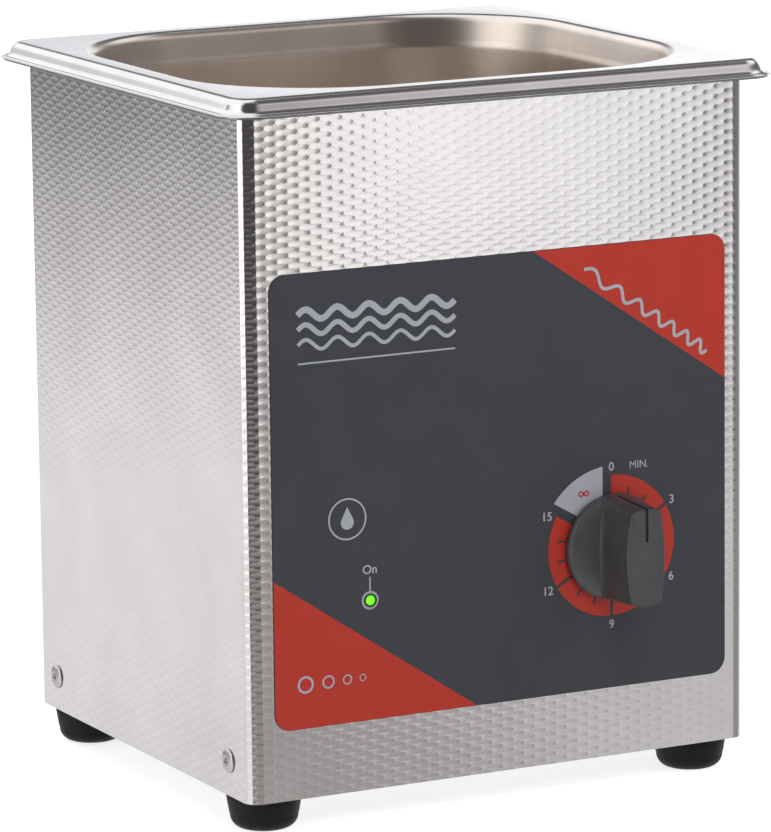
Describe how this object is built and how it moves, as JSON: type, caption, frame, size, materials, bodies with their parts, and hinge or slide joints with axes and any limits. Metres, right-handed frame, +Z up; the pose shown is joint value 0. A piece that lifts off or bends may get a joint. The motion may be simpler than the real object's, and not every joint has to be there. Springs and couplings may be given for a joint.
{
  "type": "ultrasonic cleaner",
  "caption": "Bench-top ultrasonic cleaner: stainless tank in a patterned steel casing, with a turn-knob timer, a status light and rubber feet.",
  "frame": {"origin": "centre of the base plate's underside; the rubber feet hang below it", "axes": "+X right, -Y the front with the timer knob, +Z up towards the open tank"},
  "size_m": [0.176, 0.1771, 0.2179],
  "materials": {
    "casing_steel": "stainless sheet rolled with a staggered pattern of fine horizontal dashes, satin bright",
    "tank_steel": "deep-drawn stainless, bright rim, satin inside",
    "plain_steel": "plain cold-rolled sheet and turned steel",
    "zinc_steel": "bright plated fasteners",
    "aluminium": "machined and extruded, satin",
    "brass": "stamped clock brass",
    "black_rubber": "moulded, satin black",
    "panel_film": "printed polyester film, slate grey with two red corners, satin",
    "knob_plastic": "moulded dark grey, fine satin",
    "black_plastic": "moulded black",
    "green_lens": "tinted clear, lit green",
    "piezo_ceramic": "fired, silvered faces",
    "circuit_board": "green solder mask",
    "ferrite": "dark sintered core with taped winding",
    "copper": "thin copper sheet",
    "nylon": "natural moulded nylon",
    "fuse_glass": "clear tube",
    "wire_brown": "brown insulation",
    "wire_blue": "blue insulation",
    "wire_green": "green and yellow insulation",
    "wire_red": "red insulation",
    "wire_black": "black insulation"
  },
  "bodies": {
    "cleaner": {"casing": "casing_steel", "tank": "tank_steel", "base_plate": "plain_steel", "rear_panel": "plain_steel", "timer_front_plate": "plain_steel", "timer_back_plate": "plain_steel", "timer_nut": "plain_steel", "transducer_back_mass": "plain_steel", "transducer_bolt": "plain_steel", "rear_screw_1": "zinc_steel", "rear_screw_2": "zinc_steel", "rear_screw_3": "zinc_steel", "rear_screw_4": "zinc_steel", "foot_screw_front_left": "zinc_steel", "foot_screw_front_right": "zinc_steel", "foot_screw_rear_left": "zinc_steel", "foot_screw_rear_right": "zinc_steel", "side_rivet_left_front": "zinc_steel", "side_rivet_left_rear": "zinc_steel", "side_rivet_right_front": "zinc_steel", "side_rivet_right_rear": "zinc_steel", "transducer_front_mass": "aluminium", "heatsink": "aluminium", "inlet_pin_line": "brass", "inlet_pin_neutral": "brass", "inlet_pin_earth": "brass", "rim_gasket": "black_rubber", "foot_front_left": "black_rubber", "foot_front_right": "black_rubber", "foot_rear_left": "black_rubber", "foot_rear_right": "black_rubber", "control_panel": "panel_film", "timer_switch": "black_plastic", "mains_inlet": "black_plastic", "status_led": "green_lens", "piezo_ring_1": "piezo_ceramic", "piezo_ring_2": "piezo_ceramic", "generator_board": "circuit_board", "output_transformer": "ferrite", "electrode_1": "copper", "electrode_2": "copper", "board_standoff_1": "nylon", "board_standoff_2": "nylon", "board_standoff_3": "nylon", "board_standoff_4": "nylon", "line_cable": "wire_brown", "neutral_cable": "wire_blue", "earth_cable": "wire_green", "transducer_cable": "wire_red", "led_cable": "wire_black"},
    "timer_control": {"timer_knob": "knob_plastic", "timer_shaft": "plain_steel", "timer_main_gear": "brass", "timer_cam": "brass", "timer_mainspring": "plain_steel"},
    "timer_escapement": {"timer_pinion": "plain_steel", "timer_escape_wheel": "brass"},
    "fuse_carrier": {"fuse_drawer": "black_plastic", "fuse": "fuse_glass"}
  },
  "joints": [
    {"name": "timer_turn", "type": "hinge", "parent": "cleaner", "child": "timer_control", "pos_m": [0.0368, -0.0746, 0.0642], "axis": [0, 1, 0], "range_deg": [-30, 300]},
    {"name": "escapement_spin", "type": "hinge", "parent": "cleaner", "child": "timer_escapement", "pos_m": [0.02266, -0.0746, 0.07834], "axis": [0, 1, 0], "range_deg": [-900, 90]},
    {"name": "fuse_slide", "type": "slide", "parent": "cleaner", "child": "fuse_carrier", "axis": [0, 1, 0], "range_m": [0, 0.018]}
  ],
  "couplings": [
    {"joint": "escapement_spin", "follows": "timer_turn", "ratio": -3}
  ]
}
